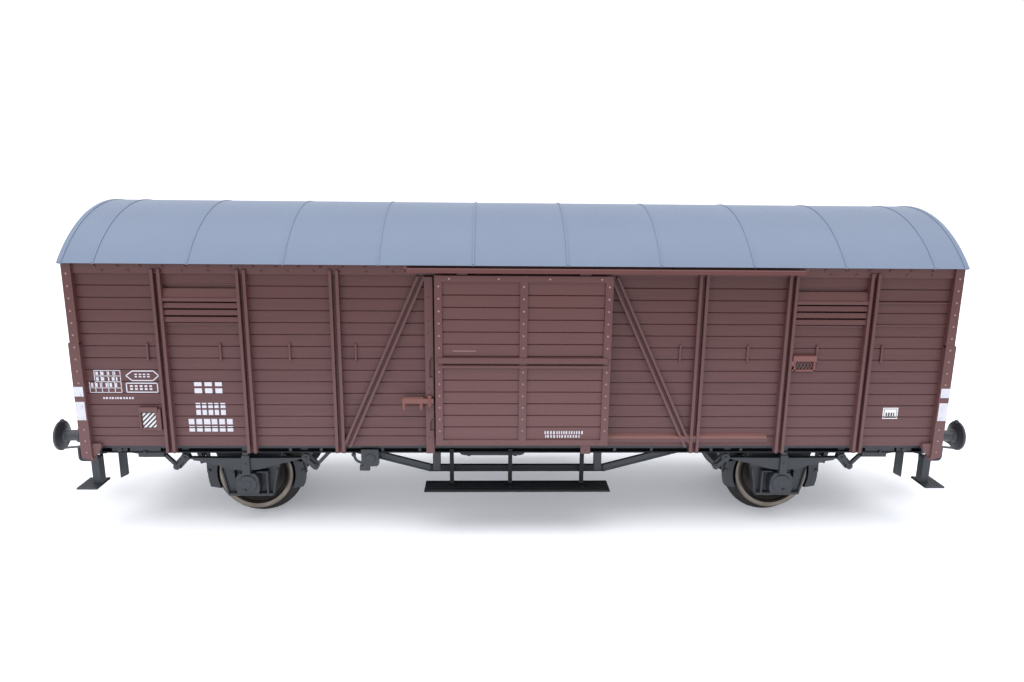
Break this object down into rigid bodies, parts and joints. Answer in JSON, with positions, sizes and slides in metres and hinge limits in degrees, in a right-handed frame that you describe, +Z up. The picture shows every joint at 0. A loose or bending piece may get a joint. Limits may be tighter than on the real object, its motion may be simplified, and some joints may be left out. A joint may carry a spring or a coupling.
{
  "type": "model box car",
  "caption": "Model covered goods wagon: planked body with sliding side doors, arched roof, underframe with leaf springs, spinning wheelsets, buffers and loop couplers.",
  "frame": {"origin": "centre of the wagon's length and width, on the level that the wheel flanges stand on", "axes": "+X along the wagon, +Y across it from the near side to the far side, +Z up"},
  "size_m": [0.1468, 0.0366, 0.0482],
  "materials": {
    "body_brown": "satin moulded and painted red-brown",
    "rail_brown": "satin red-brown",
    "roof_grey": "satin blue-grey",
    "frame_black": "matt black-grey",
    "floor_grey": "matt grey-brown",
    "ballast_steel": "bare rolled steel",
    "wheel_metal": "browned metal with bright treads",
    "axle_steel": "turned steel",
    "bush_plastic": "black insulating plastic",
    "coupler_wire": "blackened wire"
  },
  "bodies": {
    "wagon": {"body_shell": "body_brown", "vent_near_left": "body_brown", "vent_near_right": "body_brown", "vent_far_left": "body_brown", "vent_far_right": "body_brown", "card_frame_near": "body_brown", "card_frame_far": "body_brown", "door_top_rail_near": "rail_brown", "door_top_rail_far": "rail_brown", "door_lower_rail_near": "rail_brown", "door_lower_rail_far": "rail_brown", "door_latch_near": "rail_brown", "door_latch_far": "rail_brown", "paper_holder_near": "rail_brown", "paper_holder_far": "rail_brown", "roof": "roof_grey", "underframe": "frame_black", "axle_guard_near_left": "frame_black", "axle_guard_near_right": "frame_black", "axle_guard_far_left": "frame_black", "axle_guard_far_right": "frame_black", "brake_gear_left": "frame_black", "brake_gear_right": "frame_black", "brake_cylinder": "frame_black", "air_reservoir": "frame_black", "brake_changeover_near": "frame_black", "brake_changeover_far": "frame_black", "truss_near": "frame_black", "truss_far": "frame_black", "door_step_near": "frame_black", "door_step_far": "frame_black", "corner_step_near_left": "frame_black", "corner_step_near_right": "frame_black", "corner_step_far_left": "frame_black", "corner_step_far_right": "frame_black", "buffer_near_left": "frame_black", "buffer_near_right": "frame_black", "buffer_far_left": "frame_black", "buffer_far_right": "frame_black", "floor_insert": "floor_grey", "ballast_weight": "ballast_steel"},
    "door_near": {"door_near": "body_brown"},
    "door_far": {"door_far": "body_brown"},
    "wheelset_left": {"axle_left": "axle_steel", "wheel_left_near": "wheel_metal", "wheel_left_far": "wheel_metal", "bush_left_near": "bush_plastic", "bush_left_far": "bush_plastic"},
    "wheelset_right": {"axle_right": "axle_steel", "wheel_right_near": "wheel_metal", "wheel_right_far": "wheel_metal", "bush_right_near": "bush_plastic", "bush_right_far": "bush_plastic"},
    "coupler_left": {"coupler_pocket_left": "frame_black", "coupler_head_left": "frame_black"},
    "coupler_right": {"coupler_pocket_right": "frame_black", "coupler_head_right": "frame_black"},
    "loop_left": {"coupler_loop_left": "coupler_wire"},
    "loop_right": {"coupler_loop_right": "coupler_wire"}
  },
  "joints": [
    {"name": "wheelset_left_spin", "type": "hinge", "parent": "wagon", "child": "wheelset_left", "pos_m": [-0.04023, 0, 0.00695], "axis": [0, 1, 0], "continuous": true},
    {"name": "wheelset_right_spin", "type": "hinge", "parent": "wagon", "child": "wheelset_right", "pos_m": [0.04023, 0, 0.00695], "axis": [0, 1, 0], "continuous": true},
    {"name": "door_near_slide", "type": "slide", "parent": "wagon", "child": "door_near", "axis": [1, 0, 0], "range_m": [0, 0.0245]},
    {"name": "door_far_slide", "type": "slide", "parent": "wagon", "child": "door_far", "axis": [-1, 0, 0], "range_m": [0, 0.0245]},
    {"name": "coupler_left_swing", "type": "hinge", "parent": "wagon", "child": "coupler_left", "pos_m": [-0.0565, 0, 0.0091], "axis": [0, 0, 1], "range_deg": [-12, 12]},
    {"name": "coupler_right_swing", "type": "hinge", "parent": "wagon", "child": "coupler_right", "pos_m": [0.0565, 0, 0.0091], "axis": [0, 0, 1], "range_deg": [-12, 12]},
    {"name": "loop_left_lift", "type": "hinge", "parent": "coupler_left", "child": "loop_left", "pos_m": [-0.0678, 0, 0.0095], "axis": [0, 1, 0], "range_deg": [0, 25]},
    {"name": "loop_right_lift", "type": "hinge", "parent": "coupler_right", "child": "loop_right", "pos_m": [0.0678, 0, 0.0095], "axis": [0, -1, 0], "range_deg": [0, 25]}
  ]
}
